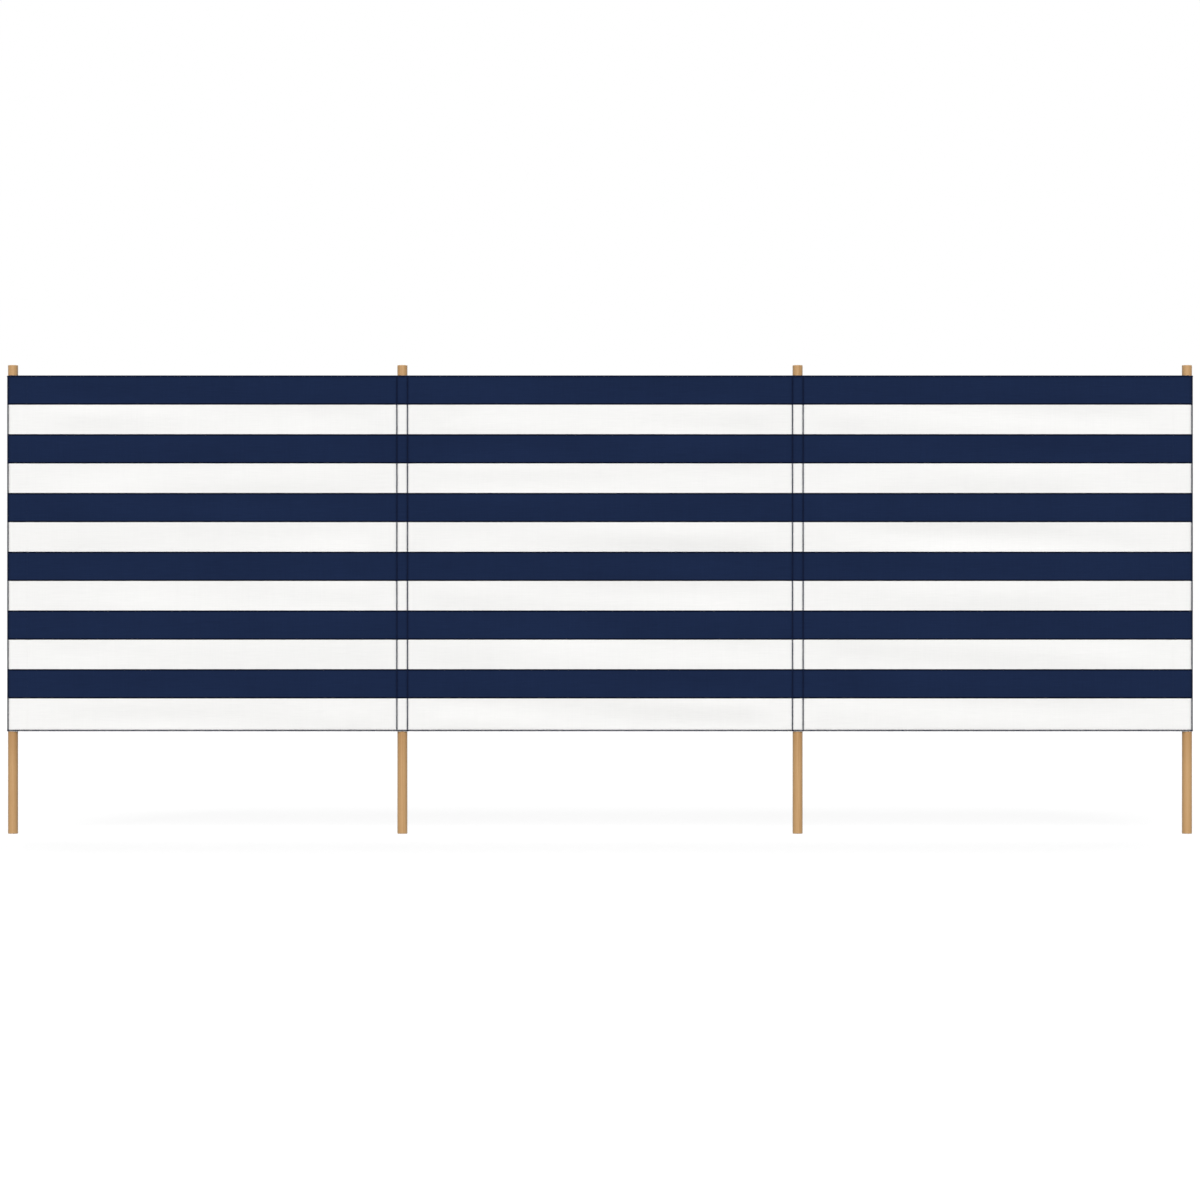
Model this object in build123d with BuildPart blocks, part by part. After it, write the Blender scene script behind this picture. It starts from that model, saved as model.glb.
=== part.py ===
"""Beach windbreak: a striped canvas in three bays, held up by four round wooden poles.

The canvas is one woven length that runs flat across the front of the poles. At each end it folds
round the pole and is sewn back down on itself. At each inner pole a strip of the same cloth is
sewn across the back, so that the pole slides down between strip and canvas. The top and bottom
edges are turned in twice and sewn as narrow hems, which follow the canvas round the end poles
and pass in front of the inner ones. Each colour of the weave is its own set of solids.

Frame: the origin is the centre of the foot of the left end pole. +X runs along the windbreak,
+Y points to the back, where the poles stand, and +Z is up. All sizes are in millimetres.
"""

import math
import os

from build123d import *

os.makedirs("parts", exist_ok=True)

# ---------------------------------------------------------------- driving dimensions
CANVAS_LENGTH = 4000.0  # from end fold to end fold
CANVAS_HEIGHT = 1200.0  # from hem to hem
CLOTH = 0.8  # one ply of the canvas
BAYS = 3

STRIPES = 12
LOWEST_STRIPE_EXTRA = 12.0  # by which the lowest stripe is wider than the others
COLOURS = ("navy", "white")  # from the top stripe down

POLE_DIAMETER = 34.0
POLE_LEG = 345.0  # bare pole below the canvas
POLE_STUB = 35.0  # bare pole above the canvas
POLE_EDGE_BREAK = 1.0

HEM_DEPTH = 8.0
HEM_TURNS = 2  # plies turned in behind the canvas

POLE_CLEARANCE = 0.3  # between a pole and the cloth that bears on it
SEAM_MARGIN = 6.0  # cloth that lies flat on the canvas, where it is sewn down
END_LEAVE_ANGLE = 45.0  # degrees behind the side of the pole where the end fold leaves it
POCKET_LEAVE_ANGLE = -8.0  # degrees, so in front of the side, for the strip of an inner pocket

# ---------------------------------------------------------------- sizes that follow
pole_radius = POLE_DIAMETER / 2
pole_length = POLE_LEG + CANVAS_HEIGHT + POLE_STUB

hem_thickness = CLOTH * (1 + HEM_TURNS)
hem_fold = 0.3 * hem_thickness

hem_back = pole_radius + POLE_CLEARANCE  # distance of each layer in front of the poles' axes
canvas_front = hem_back + hem_thickness
canvas_middle = canvas_front - CLOTH / 2
hem_middle = canvas_front - hem_thickness / 2
strip_radius = pole_radius + POLE_CLEARANCE + CLOTH / 2

canvas_bottom = POLE_LEG
canvas_top = canvas_bottom + CANVAS_HEIGHT
stripe = (CANVAS_HEIGHT - LOWEST_STRIPE_EXTRA) / STRIPES
stripe_edges = [canvas_top - stripe * i for i in range(STRIPES)] + [canvas_bottom]
field_bottom = canvas_bottom + HEM_DEPTH
field_top = canvas_top - HEM_DEPTH
hem_heights = {"top": canvas_top - HEM_DEPTH / 2, "bottom": canvas_bottom + HEM_DEPTH / 2}

bay_pitch = CANVAS_LENGTH / BAYS
last_pole = CANVAS_LENGTH - 2 * canvas_front
inner_poles = [bay * bay_pitch - canvas_front for bay in range(1, BAYS)]
pole_places = [0.0, *inner_poles, last_pole]
mirror_plane = Plane.YZ.offset(last_pole / 2)


def save(piece, name):
    """Labels a finished piece and writes it under its own name."""
    piece.part.label = name
    export_step(piece.part, f"parts/{name}.step")


def stripe_spans(colour):
    """Lower and upper height of each stripe of one colour, as far as the hems leave it."""
    first = COLOURS.index(colour)
    return [
        (max(stripe_edges[i + 1], field_bottom), min(stripe_edges[i], field_top))
        for i in range(first, STRIPES, len(COLOURS))
    ]


def sewn_down(radius, start_angle, leave_angle, landing, height=0.0):
    """Centreline of cloth that passes round a pole and is sewn down on the back of the canvas.

    It goes clockwise round the pole's axis from start_angle to leave_angle at the given radius,
    runs straight and taut to the canvas, and turns to lie flat for the seam margin. landing is
    how far in front of the pole's axis the flat end lies.
    """
    leave = math.radians(leave_angle)
    leave_x, leave_y = radius * math.cos(leave), radius * math.sin(leave)
    corner_x = leave_x + (leave_y + landing) * math.tan(leave)
    with BuildLine(Plane.XY.offset(height)) as run:
        CenterArc((0, 0), radius, start_angle, leave_angle - start_angle)
        Polyline((leave_x, leave_y), (corner_x, -landing), (corner_x + SEAM_MARGIN, -landing))
    return run.wire()


def hem_profile(x, edge):
    """Section of the top or bottom hem at x: all its plies, eased where the cloth turns over."""
    fold = -1 if edge == "top" else 0
    with BuildSketch(Plane.YZ.offset(x)) as profile:
        with Locations((-hem_middle, hem_heights[edge])):
            Rectangle(hem_thickness, HEM_DEPTH)
        chamfer(profile.vertices().group_by(Axis.Y)[fold], hem_fold)
    return profile.sketch


# ---------------------------------------------------------------- poles
for number, place in enumerate(pole_places, start=1):
    with BuildPart() as pole:
        with BuildSketch():
            with Locations((place, 0)):
                Circle(pole_radius)
        extrude(amount=pole_length)
        chamfer(pole.edges().filter_by(GeomType.CIRCLE), POLE_EDGE_BREAK)
    save(pole, f"pole_{number}")

# ---------------------------------------------------------------- canvas, bay by bay
for number, (left, right) in enumerate(zip(pole_places, pole_places[1:]), start=1):
    for colour in COLOURS:
        with BuildPart() as stripes:
            for low, high in stripe_spans(colour):
                with BuildSketch(Plane.XY.offset(low)):
                    with Locations(((left + right) / 2, -canvas_middle)):
                        Rectangle(right - left, CLOTH)
                extrude(amount=high - low)
        save(stripes, f"bay_{number}_{colour}_stripes")

    for edge in hem_heights:
        with BuildPart() as hem:
            extrude(hem_profile(left, edge), amount=right - left)
        save(hem, f"bay_{number}_{edge}_hem")

# ---------------------------------------------------------------- folds round the end poles
for colour in COLOURS:
    with BuildPart() as end_pocket:
        for low, high in stripe_spans(colour):
            with BuildSketch(Plane.XY.offset(low)):
                trace(
                    sewn_down(canvas_middle, 270, END_LEAVE_ANGLE, canvas_middle - CLOTH),
                    line_width=CLOTH,
                )
            extrude(amount=high - low)
    save(end_pocket, f"left_end_pocket_{colour}")

    with BuildPart() as far_pocket:
        mirror(end_pocket.part, about=mirror_plane)
    save(far_pocket, f"right_end_pocket_{colour}")

for edge, height in hem_heights.items():
    with BuildPart() as end_hems:
        sweep(
            hem_profile(0, edge),
            path=sewn_down(
                hem_middle, 270, END_LEAVE_ANGLE, hem_middle - hem_thickness, height
            ),
            transition=Transition.RIGHT,
        )
        mirror(about=mirror_plane)
    save(end_hems, f"end_{edge}_hems")

# ---------------------------------------------------------------- pockets of the inner poles
for number, place in enumerate(inner_poles, start=2):
    for colour in COLOURS:
        with BuildPart() as pocket:
            for low, high in stripe_spans(colour):
                with BuildSketch(Plane((place, 0, low))):
                    trace(
                        sewn_down(strip_radius, 90, POCKET_LEAVE_ANGLE, canvas_middle - CLOTH),
                        line_width=CLOTH,
                    )
                    mirror(about=Plane.YZ)
                extrude(amount=high - low)
        save(pocket, f"inner_pocket_{number}_{colour}")
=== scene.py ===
"""Beach windbreak: the looks of its canvas, seams and poles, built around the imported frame.

One woven length of striped canvas runs flat across the front of four wooden poles. It folds
round each end pole and is sewn down on its own back, and a strip of the same cloth across the
back makes a pocket for each inner pole. The top and bottom edges are turned in twice as hems.

The frame gives every size and place: the poles, the plies of the canvas, the heights of its
stripes, the hems and the sewn margins. +X runs along the windbreak, -Y is its front and +Z is
up. All lengths are in metres.
"""

import logging
import math
from abc import ABC, abstractmethod
from collections.abc import Callable, Iterable, Sequence
from dataclasses import dataclass, field, replace
from enum import Enum
from functools import cached_property

import bpy
import numpy as np
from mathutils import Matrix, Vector


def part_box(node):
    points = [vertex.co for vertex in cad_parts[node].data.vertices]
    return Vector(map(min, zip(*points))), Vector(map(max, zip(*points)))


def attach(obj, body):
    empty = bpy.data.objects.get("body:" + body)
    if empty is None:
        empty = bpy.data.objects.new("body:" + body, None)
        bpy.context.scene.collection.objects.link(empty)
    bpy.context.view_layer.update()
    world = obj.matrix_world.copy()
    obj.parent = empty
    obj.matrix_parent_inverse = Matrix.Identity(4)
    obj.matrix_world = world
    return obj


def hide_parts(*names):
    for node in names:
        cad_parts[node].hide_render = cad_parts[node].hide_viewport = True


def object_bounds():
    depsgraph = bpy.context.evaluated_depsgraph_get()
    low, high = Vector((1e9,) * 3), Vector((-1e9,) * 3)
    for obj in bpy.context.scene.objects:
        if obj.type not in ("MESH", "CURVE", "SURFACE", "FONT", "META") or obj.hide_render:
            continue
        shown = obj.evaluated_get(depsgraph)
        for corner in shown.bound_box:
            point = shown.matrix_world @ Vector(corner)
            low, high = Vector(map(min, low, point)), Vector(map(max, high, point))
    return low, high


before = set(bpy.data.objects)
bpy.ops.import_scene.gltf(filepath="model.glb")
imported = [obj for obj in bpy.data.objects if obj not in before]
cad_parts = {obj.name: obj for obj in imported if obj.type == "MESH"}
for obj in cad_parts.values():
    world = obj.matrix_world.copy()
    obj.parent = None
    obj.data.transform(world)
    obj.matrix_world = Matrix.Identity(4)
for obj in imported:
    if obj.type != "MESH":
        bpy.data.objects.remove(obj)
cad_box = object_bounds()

log = logging.getLogger("windbreak")

MM = 0.001
Pair = tuple[float, float]
RGB = tuple[float, float, float]
Array = np.ndarray
Number = float | Array
Piece = bpy.types.Object

BODY = "root"


class Colour(Enum):
    """Colour of a stripe of the weave."""

    NAVY = "navy"
    WHITE = "white"

    @property
    def slot(self) -> str:
        """Name of the record's material slot for this colour."""
        return f"canvas_{self.value}"


class Edge(Enum):
    """Long edge of the canvas. The value is the way in which it faces."""

    TOP = 1
    BOTTOM = -1


class Side(Enum):
    """Side of the cloth that a row of stitches is seen on. The value is its facing."""

    OUTER = 1
    INNER = -1


def eased(value: Number) -> Array:
    """Eases a value from 0 to 1 and holds it at both ends."""
    share = np.clip(value, 0.0, 1.0)
    return share * share * (3.0 - 2.0 * share)


def even(start: float, end: float, step: float) -> Array:
    """Evenly spread places from start to end, no more than a step apart."""
    return np.linspace(start, end, math.ceil(abs(end - start) / step) + 1)


def millimetres(*values: float) -> Array:
    """Distances that are given in millimetres, in metres."""
    return MM * np.array(values)


def levels(node: str) -> list[float]:
    """Heights at which a node of the frame has corners, from the lowest."""
    return sorted({round(corner.co.z, 5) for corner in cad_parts[node].data.vertices})


# ---------------------------------------------------------------- sizes of the frame
@dataclass(frozen=True)
class Sizes:
    """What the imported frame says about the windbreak."""

    poles: tuple[float, ...]  # how far along each pole's axis stands
    pole_radius: float
    pole_top: float  # height of a pole's upper end
    ply: float  # thickness of one ply of canvas
    hem_thickness: float  # of all plies of a hem
    hem_depth: float
    middle: float  # how far the middle of the canvas lies in front of the poles' axes
    bottom: float  # height of the canvas's lower edge
    top: float  # height of the canvas's upper edge
    stripes: dict[Colour, list[Pair]]  # lower and upper heights, between the hems
    end_margin: float  # where the fold round an end pole ends, from the pole's axis
    strip_margin: float  # where the strip of an inner pocket ends, from the pole's axis
    strip_radius: float  # radius at which that strip passes round its pole

    @classmethod
    def measured(cls) -> "Sizes":
        """Reads the sizes from the boxes and corners of the frame's nodes.

        Returns:
            The sizes.
        """
        boxes = [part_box(name) for name in sorted(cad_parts) if name.startswith("pole_")]
        poles = tuple((low.x + high.x) / 2 for low, high in boxes)
        field_low, field_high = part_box("bay_1_navy_stripes")
        hem_low, hem_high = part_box("bay_1_top_hem")
        ply = field_high.y - field_low.y
        strip_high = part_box("inner_pocket_2_navy")[1]
        heights = {colour: levels(f"bay_1_{colour.value}_stripes") for colour in Colour}
        return cls(
            poles=poles,
            pole_radius=(boxes[0][1].x - boxes[0][0].x) / 2,
            pole_top=boxes[0][1].z,
            ply=ply,
            hem_thickness=hem_high.y - hem_low.y,
            hem_depth=hem_high.z - hem_low.z,
            middle=-(field_low.y + field_high.y) / 2,
            bottom=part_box("bay_1_bottom_hem")[0].z,
            top=hem_high.z,
            stripes={
                colour: list(zip(found[::2], found[1::2])) for colour, found in heights.items()
            },
            end_margin=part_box("left_end_pocket_navy")[1].x - poles[0],
            strip_margin=strip_high.x - poles[1],
            strip_radius=strip_high.y - ply / 2,
        )

    @property
    def bays(self) -> int:
        """Number of bays between the poles."""
        return len(self.poles) - 1

    @property
    def inner_poles(self) -> tuple[float, ...]:
        """Where the poles stand that have a bay on both sides."""
        return self.poles[1:-1]

    @property
    def spans(self) -> list[Pair]:
        """Lower and upper height of every stripe between the hems, from the lowest."""
        return sorted(span for spans in self.stripes.values() for span in spans)

    @property
    def outer_face(self) -> float:
        """Distance of the outer face from the middle of the outer ply."""
        return self.ply / 2

    @property
    def hem_back(self) -> float:
        """Distance of a hem's back from the middle of the outer ply."""
        return self.outer_face - self.hem_thickness

    def edge(self, edge: Edge) -> float:
        """Height of one long edge of the canvas."""
        return self.top if edge is Edge.TOP else self.bottom

    def hem_seam(self, edge: Edge) -> float:
        """Height of the seam of one hem."""
        return self.edge(edge) - edge.value * HEM_SEAM_INSET

    def strip_end(self, edge: Edge) -> float:
        """Height of one end of the strips behind the inner poles, short of the hem."""
        return self.spans[-1][1] if edge is Edge.TOP else self.spans[0][0]

    def from_edge(self, height: Number) -> Array:
        """Distance of a height from the nearer long edge of the canvas."""
        return np.minimum(np.asarray(height) - self.bottom, self.top - np.asarray(height))

    def upright(self, inset: float) -> Pair:
        """Both ends of a row that goes up the canvas and stops short of its edges."""
        return self.bottom + inset, self.top - inset

    def with_hems(self, colour: Colour) -> list[Pair]:
        """Lower and upper height of each stripe of a colour, as far as the canvas's edges."""
        moved = {self.spans[0][0]: self.bottom, self.spans[-1][1]: self.top}
        return [(moved.get(low, low), moved.get(high, high)) for low, high in self.stripes[colour]]

    def covered(self, pole: float) -> float:
        """How far beside its axis a pole covers the back of the hems, or the fold round it does."""
        return POLE_ON_HEM if pole in self.inner_poles else self.end_margin + STITCH_CLEARANCE


# ---------------------------------------------------------------- sewing
SEAM_OFFSET = 17.9 * MM  # of a pocket's seam from the axis of its inner pole
STRIP_SEAM_OFFSET = 18.3 * MM  # of the same seam on the strip behind
END_SEAM_INSET = 2.4 * MM  # of an end seam from the edge of the fold
HEM_SEAM_INSET = 3.55 * MM  # of a hem's seam from its edge
FOLD_SEAM_ANGLE = 55.0  # of the seam up an end fold from the middle of its front, in degrees
STRIP_END_INSET = 3.4 * MM  # of the row across the end of a strip
SEAM_STOP = 0.8 * MM  # of an upright seam's last hole from the canvas's edge
PRESS = 0.28 * MM  # by which stitches pull each face of the cloth in
TURNED_UNDER = 4.0 * MM  # of a sewn-down edge, where it is two plies thick
TURNED_OVER = 5.8 * MM  # of a strip's end, where it is two plies thick
STEP_OF_PLY = 0.8 * MM  # over which one ply gives way to two
NOSE_SHARE = 0.3  # of the cloth's thickness that is left at the very edge
STITCH_CLEARANCE = 1.0 * MM  # between a stitch and the edge that hides the rest of its row
POLE_ON_HEM = 9.0 * MM  # half the width of a hem's back that an inner pole hides
GATHERED = 2.0 * MM  # of cloth beside a row of stitches that the row gathers
FULL_GATHER = 3.0 * MM  # reach from which a row gathers that cloth fully
HELD_DOWN = 0.8  # cloth that is held down beside a thread, in thicknesses of the thread
HOLE_ERROR = 0.05 * MM  # by which the needle misses its place
LENGTH_ERROR = 0.02  # share by which the stitches of a row differ in length
HEM_EASE = 24 * MM  # over which the cloth rises on to a hem under it
EDGING = 5.4 * MM  # of darker yarns along both edges of a navy stripe

POCKET_SEED = 40  # starts of the draws for the seams of the pockets, hems, folds and ends
HEM_SEED = 40
FOLD_SEED = 89
END_SEED = 64

COLUMN_STEP = 16 * MM
ROW_STEP = 16 * MM
FINEST_STEP = 0.35 * MM
CLEAR_STEP = 2.0 * MM  # between a place at a row of stitches and the next on the open cloth
HEM_ROWS = 15 * MM  # from a hem's edge to where its close rows of points begin
STRIP_END_ROWS = 11 * MM  # the same at a strip's end
BEND_POINTS = 9  # on the bend where a sewn-down edge meets its taut ply
RUN_POINTS = 7  # on a straight run of cloth between two bends
CREASE = 42.0  # angle in degrees from which two faces meet in a sharp edge
GROOVE_PLACES = (-2.6, -1.8, -1.35, -1.0, -0.7, 0.0, 0.7, 1.0, 1.35, 1.8, 2.6)  # in reaches of the row
NOSE_PLACES = millimetres(0.0, 0.12, 0.3, 0.55, 0.85, 1.5, 2.3, 3.1)  # in from a sewn-down edge
STITCH_FORM = ((-0.5, -0.55, 0.38), (-0.36, 0.14, 0.5), (0.36, 0.14, 0.5), (0.5, -0.55, 0.38))


@dataclass(frozen=True)
class Row:
    """A row of stitches in the cloth."""

    place: float  # where it runs, along the cloth or up it
    reach: float  # half the width of cloth that it holds down

    @property
    def gather(self) -> float:
        """How much the row gathers the cloth beside it, from 0 to 1."""
        return min(1.0, self.reach / FULL_GATHER) ** 2


@dataclass(frozen=True)
class Stitch:
    """A kind of stitch, straight or zigzag."""

    advance: float  # distance along the row from one needle hole to the next
    swing: float  # width of the zigzag, 0 for a straight row
    thread: float  # thickness of the thread
    gap: float = 0.0  # cloth that shows between two stitches of a straight row
    sides: int = 4  # sides of the thread's section

    def row(self, place: float) -> Row:
        """A row of this stitch at a place in the cloth."""
        return Row(place, self.swing / 2 + HELD_DOWN * self.thread)

    def holes(self, start: float, end: float, place: float, upright: bool) -> Array:
        """Spreads the needle holes of a row.

        Args:
            start: where the row begins.
            end: where it ends.
            place: where it runs.
            upright: whether it goes up the cloth, and not along it.

        Returns:
            The distance along the cloth and the height of each hole.
        """
        count = max(1, round((end - start) / self.advance))
        along = np.linspace(start, end, count + 1)
        beside = place + self.swing / 2 * (-1.0) ** np.arange(count + 1)
        return np.column_stack([beside, along] if upright else [along, beside])

    def shape(self) -> tuple[Array, Array, list[list[int]]]:
        """Makes one stitch that dives into the cloth at both ends.

        STITCH_FORM gives places along it as shares of its length, with the height of the
        thread's middle and its radius there as shares of its thickness.

        Returns:
            Its points as shares of its length and as distances beside and above the row, its
            place along and round the thread, and its faces.
        """
        places, rises, radii = np.array(STITCH_FORM).T[..., None]
        angles = np.arange(self.sides) * 2 * math.pi / self.sides
        beside = radii * self.thread * np.cos(angles)
        above = rises * self.thread + radii * self.thread * np.sin(angles)
        along = np.broadcast_to(places, beside.shape)
        form = np.stack([along, beside, above], axis=-1).reshape(-1, 3)
        round_about = np.broadcast_to(angles, beside.shape)
        turns = np.stack([along, round_about, np.zeros_like(along)], axis=-1).reshape(-1, 3)
        rings = np.arange(len(places) * self.sides).reshape(-1, self.sides)
        beyond = np.roll(rings, -1, axis=1)
        bands = np.stack([rings[:-1], beyond[:-1], beyond[1:], rings[1:]], axis=-1)
        faces = bands.reshape(-1, 4).tolist()
        faces += [rings[0][::-1].tolist(), rings[-1].tolist()]
        return form, turns, faces


ZIGZAG = Stitch(advance=1.4 * MM, swing=6.2 * MM, thread=1.35 * MM, sides=5)
STRIP_ZIGZAG = replace(ZIGZAG, swing=4.4 * MM)
FOLD_ZIGZAG = replace(ZIGZAG, swing=10.4 * MM)
HEM_ZIGZAG = Stitch(advance=1.45 * MM, swing=5.6 * MM, thread=1.5 * MM)
STRAIGHT = Stitch(advance=5.0 * MM, swing=0.0, thread=0.9 * MM, gap=0.8 * MM)
FINE = Stitch(advance=4.6 * MM, swing=0.0, thread=0.6 * MM, gap=1.0 * MM)


@dataclass(frozen=True)
class Drape:
    """How far the canvas stands away from a flat, taut sheet."""

    sizes: Sizes
    bow: float = 2.6 * MM  # how far a bay bellies out between its poles
    uneven: float = 0.25  # share by which the bays' bows differ
    bay_phase: float = 2.4  # radians from one bay to the next in that difference
    flatter: float = 0.45  # share of a bow that is lost at the hems
    ripple: float = 0.62 * MM  # height of the long shallow ripples that run from pole to pole
    ripples: int = 9  # number of those ripples
    ripple_shares: Pair = (0.6, 1.3)  # the lowest and the highest, as shares of that height
    ripple_lengths: Pair = (0.9, 2.8)  # the shortest and the longest along the canvas
    ripple_widths: Pair = (0.10, 0.42)  # the narrowest and the widest up it
    pull: float = 0.70 * MM  # height of the short tucks that the seams draw in
    pitch: float = 118 * MM  # distance up a seam from one tuck to the next
    fade: float = 85 * MM  # distance over which a tuck runs out
    slant: float = 4.0  # radians by which a tuck shifts a metre away from its seam
    pole_phase: float = 1.7  # radians between the tucks of one pole and the next
    stray: float = 2.2  # radians by which tucks stray from an even pitch
    stray_rate: float = 7.3  # radians a metre of that straying
    bulge: float = 0.5 * MM  # how far an inner pole presses the cloth out between its seams
    held: float = 26 * MM  # cloth on each side of an inner pole that stays put
    held_at_end: float = 7 * MM  # cloth beside an end fold that stays put
    slack: float = 160 * MM  # distance over which the cloth then comes free
    stiffness: float = 0.75  # share of ripples and tucks that a hem takes out of its edge
    stiffened: float = 35 * MM  # distance from the edge over which it does
    over_hem: float = 20 * MM  # distance over which a bulge grows beside a hem
    beside_seam: float = 2 * MM  # flat cloth between a bulge and the pocket's seam
    seed: int = 11  # start of the draws for the ripples

    @cached_property
    def waves(self) -> Array:
        """Draws the ripples.

        Returns:
            One row a ripple: height, radians a metre along and up, and phase.
        """
        draw = np.random.default_rng(self.seed)
        count = self.ripples
        upward = 2 * math.pi / draw.uniform(*self.ripple_widths, count)
        along = 2 * math.pi / draw.uniform(*self.ripple_lengths, count)
        along *= draw.choice([-1, 1], count)
        height = self.ripple * draw.uniform(*self.ripple_shares, count)
        return np.column_stack([height, along, upward, draw.uniform(0, 2 * math.pi, count)])

    def held_by(self, pole: float) -> float:
        """How far beside a pole's axis the cloth stays put."""
        at_end = self.sizes.end_margin + self.held_at_end
        return self.held if pole in self.sizes.inner_poles else at_end

    def freedom(self, along: Array) -> Array:
        """Share, from 0 at the poles to 1 in a bay, by which the cloth can move."""
        clear = [np.abs(along - pole) - self.held_by(pole) for pole in self.sizes.poles]
        return math.prod(eased(distance / self.slack) for distance in clear)

    def belly(self, along: Array, height: Array) -> Array:
        """Works out how far the bays belly out.

        Args:
            along: places along the windbreak.
            height: their heights.

        Returns:
            The rise at each place.
        """
        size = self.sizes
        poles = np.array(size.poles)
        bay = np.clip(np.searchsorted(poles, along, side="right") - 1, 0, size.bays - 1)
        across = (along - poles[bay]) / (poles[bay + 1] - poles[bay])
        upward = (height - size.bottom) / (size.top - size.bottom)
        bow = self.bow * (1.0 + self.uneven * np.cos(self.bay_phase * bay))
        fullness = 1.0 - self.flatter + self.flatter * np.sin(math.pi * upward)
        return bow * np.sin(math.pi * across) ** 2 * fullness

    def tucks(self, along: Array, height: Array) -> Array:
        """Works out the short tucks that fan out from each seam, unevenly spread up it.

        Args:
            along: places along the windbreak.
            height: their heights.

        Returns:
            The rise at each place.
        """
        rise = np.zeros_like(along)
        for number, place in enumerate(self.sizes.poles):
            away = np.abs(along - place)
            phase = height * (2 * math.pi / self.pitch) + self.pole_phase * number
            phase = phase + self.stray * np.sin(self.stray_rate * height) + self.slant * away
            rise += self.pull * np.exp(-away / self.fade) * np.sin(phase)
        return rise

    def lift(self, along: Array, height: Array) -> Array:
        """Works out how far the front of the canvas stands out of its plane.

        Args:
            along: places along the windbreak.
            height: their heights.

        Returns:
            The rise at each place, positive towards the front.
        """
        size = self.sizes
        from_edge = size.from_edge(height)
        loose_share = 1.0 - self.stiffness * np.exp(-from_edge / self.stiffened)
        ripples = sum(
            tall * np.sin(ahead * along + upward * height + phase)
            for tall, ahead, upward, phase in self.waves
        )
        loose = self.belly(along, height) + loose_share * (ripples + self.tucks(along, height))
        over_pole = np.zeros_like(along)
        for place in size.inner_poles:
            near = np.clip(np.abs(along - place) / (SEAM_OFFSET - self.beside_seam), 0.0, 1.0)
            over_pole += self.bulge * np.cos(0.5 * math.pi * near) ** 2
        clear_of_hem = eased((from_edge - size.hem_depth) / self.over_hem)
        return self.freedom(along) * loose + over_pole * clear_of_hem


# ---------------------------------------------------------------- the way that cloth takes
def arc(radius: float, start: float, end: float, count: int) -> Array:
    """Points on an arc about the origin, between two angles in radians."""
    angles = np.linspace(start, end, count)
    return radius * np.column_stack([np.cos(angles), np.sin(angles)])


def travelled(line: Array) -> Array:
    """Distance along a line of each of its points."""
    return np.concatenate([[0.0], np.cumsum(np.linalg.norm(np.diff(line, axis=0), axis=1))])


def sewn_down(radius: float, leave: float, landing: float, margin_end: float, bend: float) -> Array:
    """Line of cloth from its sewn edge on the canvas's back to where it meets the pole.

    Args:
        radius: of the cloth's way round the pole.
        leave: angle behind the pole's side at which the cloth meets it, in radians.
        landing: how far in front of the pole's axis the sewn margin lies.
        margin_end: how far beside the axis the margin ends.
        bend: radius of the bend between the margin and the taut ply.

    Returns:
        Points from the edge inwards, seen from above, from the pole's axis.
    """
    touch = radius * np.array([math.cos(leave), math.sin(leave)])
    corner = np.array([touch[0] + (touch[1] + landing) * math.tan(leave), -landing])
    rise = (touch - corner) / np.linalg.norm(touch - corner)
    turn = math.acos(-rise[0])
    centre = corner + [bend * math.tan(turn / 2), bend]
    curve = centre + arc(bend, -math.pi / 2, -math.pi / 2 - turn, BEND_POINTS)
    nose = margin_end - NOSE_PLACES
    rest = np.linspace(nose[-1], curve[0, 0], RUN_POINTS)[1:-1]
    flat = np.concatenate([nose, rest])
    margin = np.column_stack([flat, np.full(len(flat), -landing)])
    taut = np.linspace(curve[-1], touch, RUN_POINTS)[1:]
    return np.vstack([margin, curve, taut])


def stations(start: float, end: float, rows: Iterable[Row]) -> Array:
    """Spreads places along a flat run, close together at the rows of stitches.

    Args:
        start: where the run begins.
        end: where it ends.
        rows: rows of stitches that cross it.

    Returns:
        The places, from start to end.
    """
    open_cloth = even(start, end, COLUMN_STEP)
    near = np.array([row.place + row.reach * share for row in rows for share in GROOVE_PLACES])
    near = near[(near > start + FINEST_STEP) & (near < end - FINEST_STEP)]
    away = np.abs(open_cloth[:, None] - near[None, :]).min(axis=1, initial=math.inf)
    clear = away > CLEAR_STEP
    clear[[0, -1]] = True
    kept: list[float] = []
    for place in np.sort(np.concatenate([open_cloth[clear], near])):
        if not kept or place - kept[-1] > FINEST_STEP:
            kept.append(float(place))
    return np.array(kept)


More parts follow.
